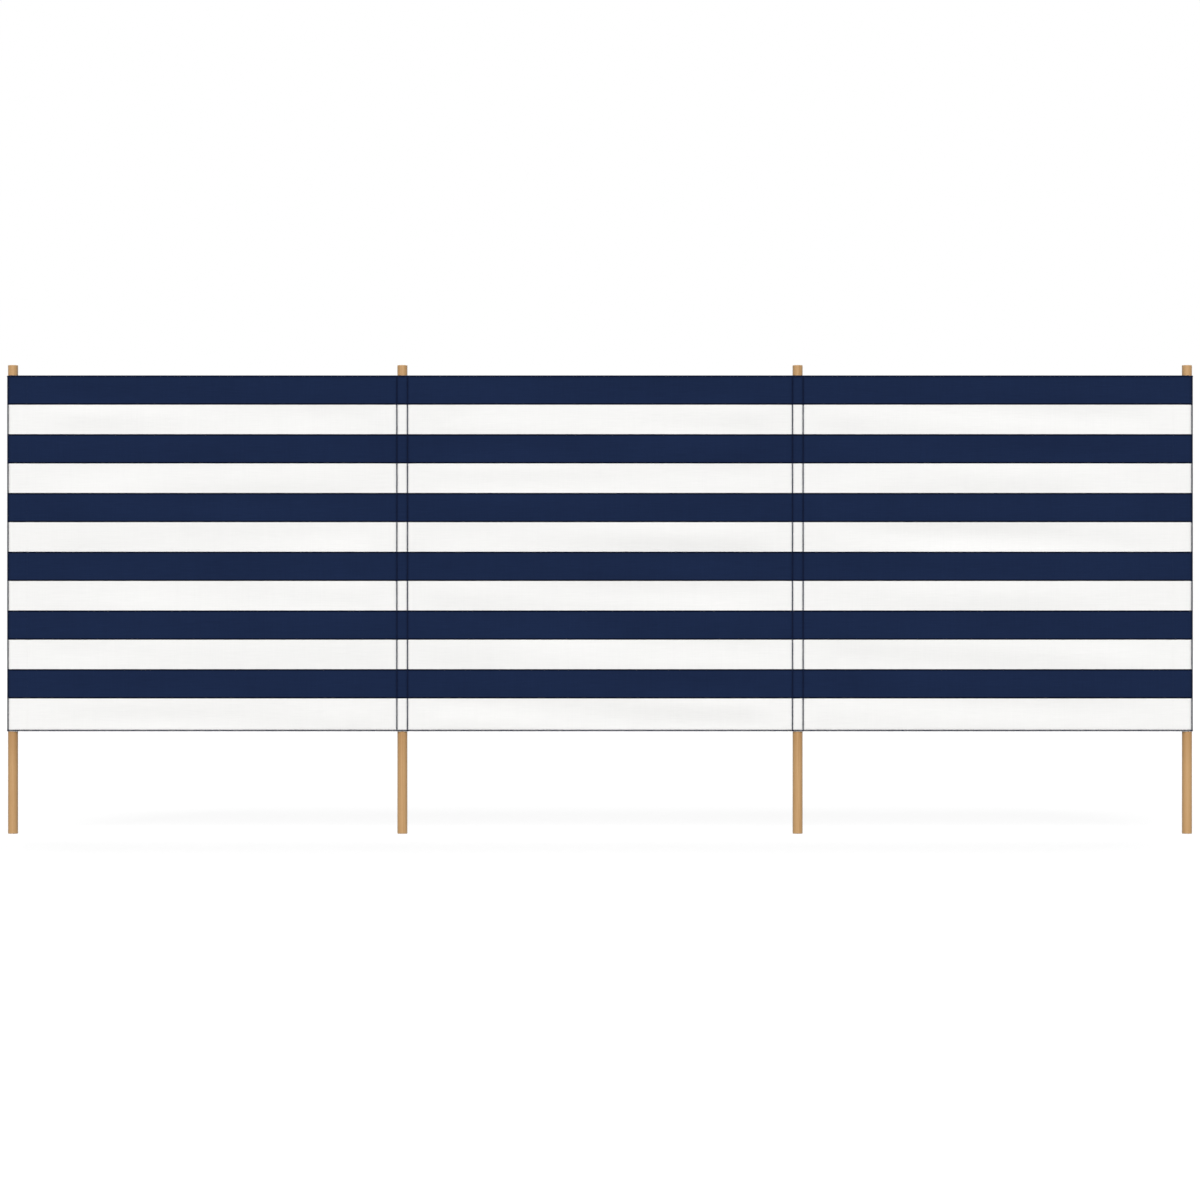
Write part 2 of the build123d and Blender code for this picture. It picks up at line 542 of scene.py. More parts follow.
@dataclass(frozen=True)
class ClothRun:
    """A length of cloth: the way it takes seen from above, and the rows sewn in it."""

    sizes: Sizes
    drape: Drape  # how the front of the canvas stands away from flat
    field: Array  # points of the way, where the cloth is one ply
    hem: Array  # points of the way at the hems, which have more plies under them
    way: Array  # distance along the cloth of each point
    rows: Sequence[Row]  # rows of stitches that go up the cloth
    cross_rows: Sequence[Row]  # rows of stitches that go along it
    free_ends: Sequence[float]  # distances along the cloth at which it ends in a sewn-down edge
    hemmed: bool  # whether its long edges are the canvas's hems

    @property
    def length(self) -> float:
        """Length of the cloth before its edges are turned under."""
        return float(self.way[-1] - self.way[0]) + TURNED_UNDER * len(self.free_ends)

    def hem_share(self, height: Number) -> Array:
        """Share, from 0 to 1, by which the cloth at a height lies as its hem does."""
        from_hem = self.sizes.from_edge(height) - self.sizes.hem_depth
        return (1.0 - eased(from_hem / HEM_EASE)) * self.hemmed

    def outward(self, line: Array) -> Array:
        """Directions in which the cloth's outer face looks at each point of a line."""
        facing = np.gradient(line, axis=0)[:, ::-1] * [1, -1]
        return facing / np.linalg.norm(facing, axis=1, keepdims=True)

    def at(self, line: Array, way: Array) -> Array:
        """Values of a line's two columns at distances along the cloth."""
        return np.stack([np.interp(way, self.way, column) for column in line.T], axis=-1)

    def closeness(self, way: Number, height: Number, gathered: float = 0.0) -> Array:
        """How near a place is to a row of stitches, from 1 on the row to 0 far away.

        Args:
            way: distances along the cloth.
            height: heights.
            gathered: width of cloth beside a row that counts as near, by how much the row
                gathers it. With 0, only the cloth that the row holds down counts.

        Returns:
            The nearness of each place.
        """
        way, height = np.broadcast_arrays(way, height)
        near = np.zeros(way.shape)
        for places, rows in ((way, self.rows), (height, self.cross_rows)):
            for row in rows:
                away = (places - row.place) / (row.reach + gathered)
                near = np.maximum(near, np.exp(-(away**4)) * (row.gather if gathered else 1.0))
        return near

    def doubled(self, way: Array, share: Array, rise: Array) -> Array:
        """Thickens the cloth at its sewn-down edges, where it is turned under, and rounds them.

        Args:
            way: distances along the cloth.
            share: share by which the cloth lies as its hem does.
            rise: distances from the cloth's inner face.

        Returns:
            The distances with the second ply in them.
        """
        ply = self.sizes.ply
        inset = np.abs(way[..., None] - np.array(self.free_ends)).min(axis=-1)
        second = ply * (1 - eased((inset - TURNED_UNDER) / STEP_OF_PLY)) * (1 - share)
        round_off = np.clip(inset / ply, 0.0, 1.0)
        nose = np.maximum(np.sqrt(1 - (1 - round_off) ** 2), NOSE_SHARE)
        return np.where(rise > 0, (rise + second) * nose, rise)

    def surface(self, way: Number, height: Number, out: Number, face: Number) -> tuple[Array, Array]:
        """Places in or on the cloth.

        Args:
            way: distances along the cloth.
            height: heights.
            out: distances from the middle of the outer ply, positive towards its face.
            face: 1 on the outer face, -1 on the back of a hem and 0 in between.

        Returns:
            The points, and the directions in which the outer face looks there.
        """
        way, height, out, face = np.broadcast_arrays(way, height, out, face)
        share = self.hem_share(height)[..., None]
        faces = (self.outward(self.field), self.outward(self.hem))
        plan, facing = (
            (1 - share) * self.at(on_field, way) + share * self.at(on_hem, way)
            for on_field, on_hem in ((self.field, self.hem), faces)
        )
        facing = facing / np.linalg.norm(facing, axis=-1, keepdims=True)

        rise = out + self.sizes.ply / 2
        if len(self.free_ends):
            rise = self.doubled(way, share[..., 0], rise)
        reach = rise - self.sizes.ply / 2 - face * PRESS * self.closeness(way, height)
        in_front = (way >= self.sizes.poles[0]) & (way <= self.sizes.poles[-1]) & self.hemmed
        reach = reach + np.where(in_front, self.drape.lift(plan[..., 0], height), 0.0)
        points = np.concatenate([plan + facing * reach[..., None], height[..., None]], axis=-1)
        level = np.zeros(height.shape + (1,))
        return points, np.concatenate([facing, level], axis=-1)


@dataclass(frozen=True)
class Cutter:
    """Lays out the lengths of cloth that the windbreak is sewn from."""

    sizes: Sizes
    drape: Drape  # how the front of the canvas stands away from flat
    end_leave: float = 45.0  # degrees behind an end pole's side at which the fold leaves it
    strip_leave: float = -8.0  # the same for the strip of an inner pocket
    end_bend: float = 3.0 * MM  # radius of the bend where an end fold comes down on the canvas
    strip_bend: float = 0.8 * MM  # the same for the strip of an inner pocket
    end_points: int = 38  # points on the way round an end pole
    strip_points: int = 18  # points on the way round half an inner pole

    @property
    def end_seam(self) -> float:
        """Distance of an end seam from the axis of its pole."""
        return self.sizes.end_margin - END_SEAM_INSET

    @property
    def fold_seam(self) -> float:
        """Distance along the cloth of an end fold's seam from the front of its pole."""
        return self.sizes.middle * math.radians(FOLD_SEAM_ANGLE)

    def line(self, number: int, places: Array, landing: float) -> Array:
        """Draws the way of a bay's canvas seen from above.

        Args:
            number: number of the bay, from 1 at the left.
            places: places along its flat front, from pole to pole.
            landing: how far in front of an end pole's axis the edge of its fold is sewn down.

        Returns:
            Points from the left to the right, with the fold round an end pole if it has one.
        """
        size = self.sizes
        leave = math.radians(self.end_leave)
        back = sewn_down(size.middle, leave, landing, size.end_margin, self.end_bend)
        turn = arc(size.middle, leave, 1.5 * math.pi, self.end_points)[1:]
        fold = np.vstack([back, turn])
        line = np.column_stack([places, np.full(len(places), -size.middle)])
        if number == 1:
            line = np.vstack([fold + [size.poles[0], 0], line[1:]])
        if number == size.bays:
            line = np.vstack([line[:-1], [size.poles[-1], 0] - fold[::-1] * [1, -1]])
        return line

    def bay(self, number: int) -> ClothRun:
        """Lays out one bay of the canvas, with the fold round an end pole if it has one.

        Args:
            number: number of the bay, from 1 at the left.

        Returns:
            The bay's length of cloth. On its front, the way is the place along the windbreak.
        """
        size = self.sizes
        left, right = size.poles[number - 1 : number + 1]
        beside_pole = (-SEAM_OFFSET, SEAM_OFFSET)
        rows = [ZIGZAG.row(pole + side) for pole in size.inner_poles for side in beside_pole]
        rows += [FINE.row(size.poles[0] + self.end_seam), FINE.row(size.poles[-1] - self.end_seam)]
        places = stations(left, right, rows)
        line = self.line(number, places, size.middle - size.ply)
        hem_line = self.line(number, places, size.middle - 2 * size.hem_thickness + size.ply)
        way = travelled(line)
        before_pole = len(line) - len(places) if number == 1 else 0
        way = way - way[before_pole] + left
        free_ends = []
        ends = ((1, way[0], left, 1), (size.bays, way[-1], right, -1))
        for end_bay, end, pole, inwards in ends:
            if number == end_bay:
                free_ends.append(float(end))
                rows.append(FINE.row(end + inwards * END_SEAM_INSET))
                rows.append(FOLD_ZIGZAG.row(pole - inwards * self.fold_seam))
        cross = [HEM_ZIGZAG.row(size.hem_seam(edge)) for edge in Edge]
        return ClothRun(size, self.drape, line, hem_line, way, rows, cross, free_ends, hemmed=True)

    def strip(self, pole: float) -> ClothRun:
        """Lays out the strip across the back of an inner pole.

        Args:
            pole: place of the pole's axis.

        Returns:
            The strip's length of cloth. Its way is 0 over the middle of the pole's back.
        """
        size = self.sizes
        leave = math.radians(self.strip_leave)
        landing = size.middle - size.ply
        side = sewn_down(size.strip_radius, leave, landing, size.strip_margin, self.strip_bend)
        back = arc(size.strip_radius, leave, math.pi / 2, self.strip_points)[1:]
        half = np.vstack([side, back])
        line = np.vstack([half, half[-2::-1] * [-1, 1]])
        way = travelled(line)
        way = way - way[-1] / 2
        inset = size.strip_margin - STRIP_SEAM_OFFSET
        rows = [STRIP_ZIGZAG.row(way[0] + inset), STRIP_ZIGZAG.row(way[-1] - inset)]
        cross = [
            STRAIGHT.row(size.strip_end(edge) - edge.value * STRIP_END_INSET)
            for edge in (Edge.BOTTOM, Edge.TOP)
        ]
        line = line + [pole, 0]
        ends = (way[0], way[-1])
        return ClothRun(size, self.drape, line, line, way, rows, cross, ends, hemmed=False)


# ---------------------------------------------------------------- sections and meshes
@dataclass(frozen=True)
class Section:
    """Outline of a band of cloth, cut across: up its outer face and down its inner one."""

    out: Array  # distance of each point from the middle of the outer ply
    height: Array  # height of each point
    across: Array  # place of each point across the weave
    face: Array  # 1 on the outer face, -1 on the back of a hem and 0 elsewhere
    worn: Array  # how much each point is rubbed, from 0 to 1
    border: Array  # distance of each point across the weave from the nearer edge of its stripe

    @classmethod
    def stripe(cls, low: float, high: float, ply: float) -> "Section":
        """Outlines a stripe between two others.

        Args:
            low: height of its lower edge.
            high: height of its upper edge.
            ply: thickness of one ply.

        Returns:
            The outline.
        """
        rows = even(low, high, ROW_STEP)
        both = np.concatenate([rows, rows[::-1]])
        outer = np.repeat([1.0, 0.0], len(rows))
        border = np.minimum(both - low, high - both)
        return cls((outer - 0.5) * ply, both, both, outer, np.zeros(len(both)), border)

    @classmethod
    def placed(
        cls, parts: Iterable[Iterable[Number]], end: float, inner: float, edge: Edge
    ) -> "Section":
        """Puts an outline together that was worked out inwards from an edge.

        Args:
            parts: for each stretch, out, inset, inset across the weave, face and worn.
            end: height of the edge.
            inner: height of the stripe's other edge.
            edge: which edge it is.

        Returns:
            The outline, in the order that a section has.
        """
        stretches = [np.broadcast_arrays(*map(np.atleast_1d, part)) for part in parts]
        out, inset, across, face, worn = (
            np.concatenate(values).astype(float) for values in zip(*stretches)
        )
        woven = end - edge.value * across
        made = [out, end - edge.value * inset, woven, face, worn, np.abs(woven - inner)]
        if edge is Edge.BOTTOM:
            made = [values[::-1] for values in made]
        return cls(*made)

    @classmethod
    def hemmed(cls, inner: float, sizes: Sizes, edge: Edge) -> "Section":
        """Outlines the outermost stripe of the canvas, with its edge turned in twice.

        Args:
            inner: height of the stripe's other edge.
            sizes: the sizes of the frame.
            edge: which edge of the canvas it is.

        Returns:
            The outline.
        """
        ply, thick = sizes.ply, sizes.hem_thickness
        end = sizes.edge(edge)
        fold = thick / 2
        open_cloth = even(abs(end - inner), HEM_ROWS, ROW_STEP)
        at_seam = millimetres(12.0, 9.6, 8.5, 7.6, 6.9, 6.3, 5.7, 5.0, 4.0, 3.0, 2.4, 1.9, 1.5)
        front = np.concatenate([open_cloth, at_seam, [fold]])
        over = np.linspace(0, math.pi, 11)[1:]
        past_fold = fold * (1 - math.pi)
        back = millimetres(1.9, 2.5, 4.1, 5.7, 6.3, 6.8)
        under = np.linspace(math.pi, 2 * math.pi, 9)
        reach = sizes.hem_depth - ply
        down = np.concatenate([millimetres(8.6, 10.0, 12.0), open_cloth[::-1]])
        front_face = (ply / 2, front, front, 1, 0.25 * np.exp(-front / (3 * MM)))
        outer_turn = (
            ply / 2 - fold + fold * np.cos(over),
            fold - fold * np.sin(over),
            fold - fold * over,
            0,
            np.sin(over) ** 0.5 * 0.75 + 0.25,
        )
        hem_back = (ply / 2 - thick, back, past_fold - (back - fold), -1, 0.15)
        inner_turn = (
            -1.5 * ply + ply * np.cos(under),
            reach - ply * np.sin(under),
            past_fold - (reach - fold) - ply * (under - math.pi),
            0,
            0.5,
        )
        inner_face = (-ply / 2, down, down, 0, 0)
        parts = (front_face, outer_turn, hem_back, inner_turn, inner_face)
        return cls.placed(parts, end, inner, edge)

    @classmethod
    def turned(cls, inner: float, sizes: Sizes, edge: Edge) -> "Section":
        """Outlines the outermost stripe of a strip, whose raw end is turned over once.

        Args:
            inner: height of the stripe's other edge.
            sizes: the sizes of the frame.
            edge: which way the end faces.

        Returns:
            The outline.
        """
        ply = sizes.ply
        end = sizes.strip_end(edge)
        open_cloth = even(abs(end - inner), STRIP_END_ROWS, ROW_STEP)
        at_seam = millimetres(8.6, 7.4, 6.8, 6.2, 5.6, 4.8, 4.1, 3.4, 2.7, 2.0, 1.3)
        front = np.concatenate([open_cloth, at_seam, [ply]])
        doubled = 1 - eased((front - TURNED_OVER) / STEP_OF_PLY)
        over = np.linspace(0, math.pi, 9)[1:]
        down = np.concatenate([millimetres(3.4, 7.0), open_cloth[::-1]])
        front_face = (ply / 2 + ply * doubled, front, front, 1, 0.3 * doubled)
        turn = (ply / 2 + ply * np.cos(over), ply - ply * np.sin(over), ply - ply * over, 0, 0.8)
        inner_face = (-ply / 2, down, down, 0, 0)
        return cls.placed((front_face, turn, inner_face), end, inner, edge)

    @classmethod
    def striped(
        cls, sizes: Sizes, colour: Colour, edged: Callable[[float, Sizes, Edge], "Section"]
    ) -> list["Section"]:
        """Outlines all stripes of one colour.

        Args:
            sizes: the sizes of the frame.
            colour: the colour.
            edged: outlines a stripe with a finished edge, for the outermost.

        Returns:
            The outline of each stripe.
        """
        made = []
        for low, high in sizes.stripes[colour]:
            if (low, high) == sizes.spans[-1]:
                made.append(edged(low, sizes, Edge.TOP))
            elif (low, high) == sizes.spans[0]:
                made.append(edged(high, sizes, Edge.BOTTOM))
            else:
                made.append(cls.stripe(low, high, sizes.ply))
        return made


def new_piece(
    name: str, points: Array, faces: Sequence[Sequence[int]], kept: dict[str, Array]
) -> Piece:
    """Makes a smooth mesh and links it into the scene under a piece's name.

    Args:
        name: name of the piece.
        points: its points.
        faces: the points of each face, by number.
        kept: numbers or vectors that the mesh keeps for every point, by name.

    Returns:
        The piece.
    """
    mesh = bpy.data.meshes.new(name)
    mesh.from_pydata(points.tolist(), [], faces)
    for label, values in kept.items():
        kind, form = ("FLOAT", "value") if values.ndim == 1 else ("FLOAT_VECTOR", "vector")
        layer = mesh.attributes.new(label, kind, "POINT")
        layer.data.foreach_set(form, values.astype(np.float32).ravel())
    mesh.shade_smooth()
    piece = bpy.data.objects.new(name, mesh)
    bpy.context.scene.collection.objects.link(piece)
    return piece


def swept(name: str, run: ClothRun, sections: Iterable[Section]) -> Piece:
    """Makes a piece of cloth from outlines that follow a length of cloth.

    Args:
        name: name of the piece.
        run: the length of cloth.
        sections: the outline of each band.

    Returns:
        The piece: one closed mesh for each band.
    """
    points, faces = [], []
    kept = {"weave": [], "worn": [], "seam": [], "border": []}
    total = 0
    way = run.way[:, None]
    for section in sections:
        shape = (len(way), len(section.out))
        places, _ = run.surface(way, section.height, section.out, section.face)
        grid = total + np.arange(places[..., 0].size).reshape(shape)
        beside = np.roll(grid, -1, axis=1)
        quads = np.stack([grid[:-1], grid[1:], beside[1:], beside[:-1]], axis=-1)
        faces += quads.reshape(-1, 4).tolist()
        faces += [grid[0].tolist(), grid[-1][::-1].tolist()]
        points.append(places.reshape(-1, 3))
        weave = np.broadcast_arrays(way, section.across, np.zeros((1, 1)))
        kept["weave"].append(np.stack(weave, axis=-1).reshape(-1, 3))
        kept["worn"].append(np.broadcast_to(section.worn, shape).ravel())
        kept["seam"].append(run.closeness(way, section.height, GATHERED).ravel())
        kept["border"].append(np.broadcast_to(section.border, shape).ravel())
        total += grid.size
    joined = {label: np.concatenate(values) for label, values in kept.items()}
    piece = new_piece(name, np.concatenate(points), faces, joined)
    piece.data.set_sharp_from_angle(angle=math.radians(CREASE))
    piece.data.validate()
    return piece


@dataclass
class Stitching:
    """Rows of stitches that together make one piece."""

    name: str
    seed: int
    strands: list[tuple[Stitch, Array, Array, Array]] = field(default_factory=list)  # rows laid

    @cached_property
    def draw(self) -> np.random.Generator:
        """Draws for the unevenness of the stitches."""
        return np.random.default_rng(self.seed)

    def lay(
        self,
        run: ClothRun,
        stitch: Stitch,
        holes: Array,
        side: Side,
        keep: Callable[[Array, Array], Array] | None = None,
        plies: int = 0,
    ) -> None:
        """Lays a row of stitches on a length of cloth, from hole to hole.

        Args:
            run: the length of cloth.
            stitch: the kind of stitch.
            holes: distance along the cloth and height of each hole.
            side: the side that the row is seen on, where the inner one is the back of a hem.
            keep: says from its middle whether a stitch shows.
            plies: number of plies that are turned over on to the outer face.
        """
        size = run.sizes
        out = size.outer_face + plies * size.ply if side is Side.OUTER else size.hem_back
        holes = holes + self.draw.normal(0.0, HOLE_ERROR, holes.shape)
        starts, ends = holes[:-1], holes[1:]
        if keep is not None:
            shown = keep(*((starts + ends) / 2).T)
            starts, ends = starts[shown], ends[shown]
        middle, facing = run.surface(*((starts + ends) / 2).T, out, side.value)
        first, _ = run.surface(*starts.T, out, side.value)
        last, _ = run.surface(*ends.T, out, side.value)
        self.strands.append((stitch, middle, last - first, facing * side.value))

    def piece(self, finish: "ThreadFinish", colour: Colour) -> Piece:
        """Makes the piece from all rows laid so far.

        Args:
            finish: the thread that it is sewn in.
            colour: the colour of the cloth; not used.

        Returns:
            The piece.
        """
        points, turns, faces = [], [], []
        total = 0
        for stitch, middle, reach, facing in self.strands:
            count = len(middle)
            length = np.linalg.norm(reach, axis=-1)
            along = reach / length[:, None]
            beside = np.cross(facing, along)
            beside = beside / np.linalg.norm(beside, axis=-1, keepdims=True)
            axes = np.stack([along, beside, np.cross(along, beside)], axis=1)
            form, twist, pattern = stitch.shape()
            scale = np.ones((count, 1, 3))
            scale[:, 0, 0] = (length - stitch.gap) * self.draw.normal(1.0, LENGTH_ERROR, count)
            laid = middle[:, None] + np.einsum("spa,sax->spx", form[None] * scale, axes)
            points.append(laid.reshape(-1, 3))
            shift = np.arange(count)[:, None, None] * np.array([1.0, 0.0, 0.0])
            turned = (twist[None] + shift) * np.array([length.mean(), 1.0, 1.0])
            turns.append(turned.reshape(-1, 3))
            firsts = total + np.arange(count) * len(form)
            faces += [(np.array(face) + first).tolist() for first in firsts for face in pattern]
            total += count * len(form)
        twists = {"twist": np.concatenate(turns)}
        made = new_piece(self.name, np.concatenate(points), faces, twists)
        made.data.materials.append(finish.material())
        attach(made, BODY)
        return made


# ---------------------------------------------------------------- finishes
class Signal:
    """Output of a node: a number, colour or place that differs over a surface."""

    def __init__(self, graph: "Graph", socket: bpy.types.NodeSocket) -> None:
        """Holds an output of one of a graph's nodes."""
        self.graph = graph
        self.socket = socket

    def __add__(self, other: object) -> "Signal":
        """This number and another."""
        return self.graph.maths("ADD", self, other)

    def __sub__(self, other: object) -> "Signal":
        """This number less another."""
        return self.graph.maths("SUBTRACT", self, other)

    def __mul__(self, other: object) -> "Signal":
        """This number times another."""
        return self.graph.maths("MULTIPLY", self, other)

    def __truediv__(self, other: object) -> "Signal":
        """This number divided by another."""
        return self.graph.maths("DIVIDE", self, other)

    __radd__ = __add__

    def sine(self) -> "Signal":
        """Sine of this number."""
        return self.graph.maths("SINE", self)

    def unsigned(self) -> "Signal":
        """This number without its sign."""
        return self.graph.maths("ABSOLUTE", self)

    def spread(self, low: float, high: float, to_low: float = 0, to_high: float = 1) -> "Signal":
        """Carries this number from one range to another, and holds it at both ends."""
        ends = {"From Min": low, "From Max": high, "To Min": to_low, "To Max": to_high}
        return self.graph.out("ShaderNodeMapRange", 0, {"Value": self, **ends}, clamp=True)


class Graph:
    """Short calls for laying out the nodes of a material or of the room's light."""

    def __init__(self, owner: bpy.types.Material | bpy.types.World, shader: str) -> None:
        """Opens the nodes of a material or world, and the shader that it starts with."""
        owner.use_nodes = True
        self.tree, self.shader = owner.node_tree, owner.node_tree.nodes[shader]

    def feed(self, socket: bpy.types.NodeSocket, value: object) -> None:
        """Gives a socket a signal, or a value that is the same all over.

        Args:
            socket: the socket.
            value: the signal, number, colour or place.
        """
        if isinstance(value, Signal):
            self.tree.links.new(value.socket, socket)
        elif socket.type == "RGBA":
            socket.default_value = (*value, 1.0)
        else:
            socket.default_value = value

    def out(
        self, kind: str, output: int | str, inputs: dict | None = None, **settings: object
    ) -> Signal:
        """Adds a node and gives one of its outputs.

        Args:
            kind: kind of the node.
            output: number or name of the output.
            inputs: what its sockets are fed, by number or name.
            settings: its settings.

        Returns:
            The output.
        """
        made = self.tree.nodes.new(kind)
        for name, value in settings.items():
            setattr(made, name, value)
        for socket, value in (inputs or {}).items():
            self.feed(made.inputs[socket], value)
        return Signal(self, made.outputs[output])

    def stored(self, name: str, output: str = "Fac") -> Signal:
        """What a mesh keeps for its points under a name."""
        return self.out("ShaderNodeAttribute", output, attribute_name=name)

    def maths(self, operation: str, *values: object) -> Signal:
        """Result of a sum on numbers."""
        return self.out("ShaderNodeMath", 0, dict(enumerate(values)), operation=operation)

    def vector(self, operation: str, first: object, second: object) -> Signal:
        """Result of a sum on two vectors."""
        return self.out("ShaderNodeVectorMath", 0, {0: first, 1: second}, operation=operation)

    def toned(self, colour: object, tone: object) -> Signal:
        """A colour made lighter or darker by a number around 1."""
        inputs = {0: colour, "Scale": tone}
        return self.out("ShaderNodeVectorMath", 0, inputs, operation="SCALE")

    def length(self, vector: object) -> Signal:
        """Length of a vector."""
        return self.out("ShaderNodeVectorMath", "Value", {0: vector}, operation="LENGTH")

    def part(self, vector: object, axis: str) -> Signal:
        """One of the three numbers of a vector."""
        return self.out("ShaderNodeSeparateXYZ", axis, {0: vector})

    def mixed(self, share: object, first: object, second: object) -> Signal:
        """Mix of two colours by a share of the second."""
        return self.out("ShaderNodeMix", 2, {0: share, 6: first, 7: second}, data_type="RGBA")

    def noise(self, place: Signal, scales: RGB, detail: float = 2.0, shift: float = 0.0) -> Signal:
        """Noise from 0 to 1 around one half.

        Args:
            place: the place that it is read at.
            scales: lumps a metre in each direction.
            detail: number of finer layers.
            shift: distance by which the noise is moved, so that two differ.

        Returns:
            The noise.
        """
        scaled = self.vector("MULTIPLY", place, scales)
        moved = self.vector("ADD", scaled, (shift, 1.7 * shift, 0.6 * shift))
        inputs = {"Vector": moved, "Scale": 1.0, "Detail": detail}
        return self.out("ShaderNodeTexNoise", 0, inputs, noise_dimensions="3D")

    def seen(self) -> Signal:
        """Tells rays that the camera sees from rays that only carry light.

        Returns:
            1 where the camera looks on, also in a reflection, and 0 for all other light.
        """
        rays = ("Is Camera Ray", "Is Glossy Ray", "Is Transmission Ray")
        camera, glossy, through = (self.out("ShaderNodeLightPath", ray) for ray in rays)
        return self.maths("MAXIMUM", self.maths("MAXIMUM", camera, glossy), through)

    def relief(self, height: Signal) -> Signal:
        """Slope of a surface that is raised by a height in millimetres."""
        inputs = {"Strength": 1.0, "Distance": MM, "Height": height}
        return self.out("ShaderNodeBump", 0, inputs)

    def dress(self, **inputs: object) -> None:
        """Feeds the shader's sockets, named with _ for each space."""
        for name, value in inputs.items():
            self.feed(self.shader.inputs[name.replace("_", " ")], value)


@dataclass(frozen=True)
class Finish(ABC):
    """A finish of the windbreak or of its floor."""

    name: str

    @abstractmethod
    def lay_out(self, graph: Graph) -> None:
        """Lays out the nodes of the finish."""

    def material(self) -> bpy.types.Material:
        """Makes the finish the first time that it is asked for.

        Returns:
            The material.
        """
        made = bpy.data.materials.get(self.name)
        if made is None:
            made = bpy.data.materials.new(self.name)
            self.lay_out(Graph(made, "Principled BSDF"))
        return made


@dataclass(frozen=True)
class CanvasFinish(Finish):
    """Heavy cotton canvas with its stripes woven in."""

    colour: RGB  # colour of the yarns along the cloth
    weft: RGB  # colour that shows where the yarns across it come up; on the white canvas it is a darker painted shade in the gaps of the weave
    rubbed: RGB  # colour on worn folds
    edging: RGB  # colour of the outermost yarns of a stripe
    contrast: float  # how much the yarns differ in tone, and how deep the painted shade between the yarns along the cloth is
    wear: float  # how far worn folds take the rubbed colour
    seam_soil_and_shade: float = 0.18  # how much darker the cloth is along its seams: grime there, and painted shade in the cloth that the seams gather
    yarn: float = 0.95 * MM  # width of a yarn along the cloth
    pick: float = 1.15 * MM  # width of a yarn across it

    def lay_out(self, graph: Graph) -> None:
        """Lays out the weave, its uneven yarns, painted shade in the gaps of the weave and along the
        seams, and the marks of wear and sewing.

        Args:
            graph: where the nodes go.
        """
        place = graph.stored("weave", "Vector")
        worn, seam, border = (graph.stored(name) for name in ("worn", "seam", "border"))
        along, across = graph.part(place, "X"), graph.part(place, "Y")

        wander = graph.noise(place, (90, 90, 1), 1.0).spread(0, 1, -0.35 * MM, 0.35 * MM)
        warp = ((across + wander) * (math.pi / self.yarn)).sine()
        weft = ((along + wander) * (math.pi / self.pick)).sine()
        crossing = warp * weft
        rib = warp.unsigned()
        slub = graph.noise(place, (14, 520, 1), 2.0, 3.1)
        thick_pick = graph.noise(place, (420, 9, 1), 1.0, 7.7)
        cloud = graph.noise(place, (2.6, 3.4, 1), 2.0, 1.3)
        fibre = graph.noise(place, (900, 2600, 1), 2.0, 5.9)

        uneven = self.contrast
        tone = (
            slub.spread(0.25, 0.75, -uneven, uneven)
            + thick_pick.spread(0.25, 0.75, -0.4 * uneven, 0.4 * uneven)
            + cloud.spread(0.3, 0.7, -0.5 * uneven, 0.5 * uneven)
            # painted shade in the gaps between the yarns along the cloth, darkest where they part
            + rib.spread(0.0, 0.6, -0.7 * uneven, 0.0)
        )
        inside = (border + wander).spread(EDGING - 0.4 * self.yarn, EDGING + 0.4 * self.yarn)
        # where the weft comes up: its own colour on the navy canvas, painted shade on the white one
        weft_shows = crossing.spread(-1.0, -0.55, 0.22, 0.0)
        dyed = graph.mixed(weft_shows, graph.mixed(inside, self.edging, self.colour), self.weft)
        patchy = graph.noise(place, (160, 160, 1), 3.0, 9.2).spread(0.38, 0.62)
        # patchy grime along the seams, with painted shade in the cloth that they gather
        grime_and_shade = graph.noise(place, (70, 70, 1), 2.0, 4.6).spread(0.3, 0.7, 0.6, 1.0)
        rubbed = graph.mixed(worn * patchy * self.wear, dyed, self.rubbed)

        diagonal = (along + across) * (2 * math.pi / (5.0 * MM))
        height = (
            rib * 0.13
            + crossing * 0.09
            + slub * 0.22
            + thick_pick * 0.10
            + fibre * 0.07
            + diagonal.sine() * seam * 0.13
        )
        graph.dress(
            Base_Color=graph.toned(rubbed, tone + 1.0 + seam * grime_and_shade * -self.seam_soil_and_shade),
            Roughness=(fibre + worn * -0.4).spread(0, 1, 0.78, 0.95),
            Normal=graph.relief(height),
            Specular_IOR_Level=0.04,
            Sheen_Weight=0.015,
            Sheen_Roughness=0.5,
        )


@dataclass(frozen=True)
class ThreadFinish(Finish):
    """Sewing thread laid from twisted plies."""

    colour: RGB  # colour of the thread
    roughness: float = 0.35  # roughness of its surface
    lay: float = 1.5 * MM  # length of one turn of the twist

    def lay_out(self, graph: Graph) -> None:
        """Lays out the twisted plies with painted shade in their grooves, their fuzz and the fading of
        the dye.

        Args:
            graph: where the nodes go.
        """
        place = graph.stored("twist", "Vector")
        turns = graph.part(place, "X") * (2 * math.pi / self.lay)
        ply = (turns + graph.part(place, "Y") * 2.0).sine()
        fuzz = graph.noise(place, (5000, 3, 1), 2.0, 2.3)
        fade = graph.noise(place, (11, 0, 0), 1.0, 4.4)
        # painted shade in the grooves of the twist and painted light on its crowns, with the dye's
        # fading
        tone = ply.spread(-1, 1, -0.16, 0.1) + fade.spread(0.3, 0.7, -0.1, 0.1) + 1.0
        graph.dress(
            Base_Color=graph.toned(self.colour, tone),
            Roughness=fuzz.spread(0.2, 0.8, self.roughness - 0.08, self.roughness + 0.12),
            Normal=graph.relief(ply * 0.05 + fuzz * 0.03),
            Specular_IOR_Level=0.08,
        )


